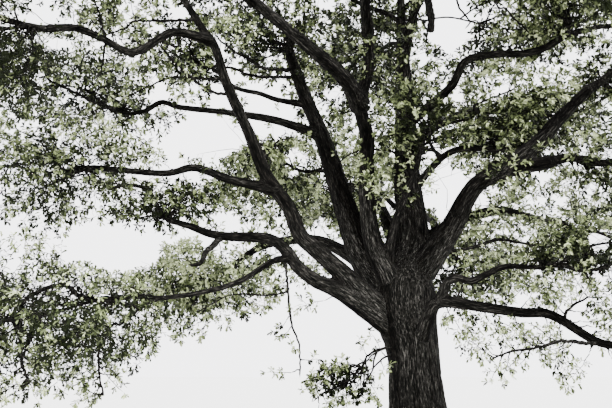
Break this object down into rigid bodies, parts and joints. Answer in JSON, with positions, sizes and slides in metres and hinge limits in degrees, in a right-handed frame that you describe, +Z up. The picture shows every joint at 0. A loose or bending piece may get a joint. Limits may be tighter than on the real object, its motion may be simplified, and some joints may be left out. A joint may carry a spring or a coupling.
{
  "type": "oak tree",
  "caption": "Old open-grown oak in full leaf: a short flared trunk, great limbs that leave it low down and bend as they rise, and a broad domed crown of foliage masses.",
  "frame": {"origin": "middle of the flat cut under the trunk, at ground level", "axes": "+Z up; +X to the right and +Y away from the side from which the trunk, the low limbs and the fork are seen"},
  "size_m": [18.2155, 16.4184, 15.1223],
  "materials": {
    "bark": "rough, deeply furrowed bark",
    "foliage": "matt leaves on fine twigs"
  },
  "bodies": {
    "root": {"trunk": "bark", "back_left_limb": "bark", "back_limb": "bark", "back_right_limb": "bark", "drooping_left_limb": "bark", "front_left_limb": "bark", "front_limb": "bark", "front_right_limb": "bark", "great_left_limb": "bark", "high_back_right_limb": "bark", "high_right_limb": "bark", "inner_left_limb": "bark", "inner_right_limb": "bark", "left_limb": "bark", "left_stem": "bark", "left_stem_branch": "bark", "long_left_limb": "bark", "low_left_limb": "bark", "low_right_fork": "bark", "low_right_limb": "bark", "middle_stem": "bark", "near_left_limb": "bark", "right_back_limb": "bark", "right_limb": "bark", "rising_right_limb": "bark", "slender_stem": "bark", "upper_left_limb": "bark", "back_left_limb_foliage": "foliage", "back_limb_foliage": "foliage", "back_right_limb_foliage": "foliage", "drooping_left_limb_foliage": "foliage", "front_left_limb_foliage": "foliage", "front_limb_foliage": "foliage", "front_right_limb_foliage": "foliage", "great_left_limb_foliage": "foliage", "high_back_left_foliage": "foliage", "high_back_right_limb_foliage": "foliage", "high_right_limb_foliage": "foliage", "inner_left_limb_foliage": "foliage", "inner_right_limb_foliage": "foliage", "left_limb_foliage": "foliage", "left_stem_branch_foliage": "foliage", "left_stem_foliage": "foliage", "long_left_limb_foliage": "foliage", "low_left_limb_foliage": "foliage", "low_right_fork_foliage": "foliage", "low_right_limb_foliage": "foliage", "low_shoot_foliage": "foliage", "middle_stem_foliage": "foliage", "near_left_limb_foliage": "foliage", "right_back_limb_foliage": "foliage", "right_limb_foliage": "foliage", "rising_right_limb_foliage": "foliage", "slender_stem_foliage": "foliage", "top_foliage": "foliage", "upper_back_foliage": "foliage", "upper_front_foliage": "foliage", "upper_left_foliage": "foliage", "upper_left_limb_foliage": "foliage", "upper_right_foliage": "foliage"}
  },
  "joints": []
}
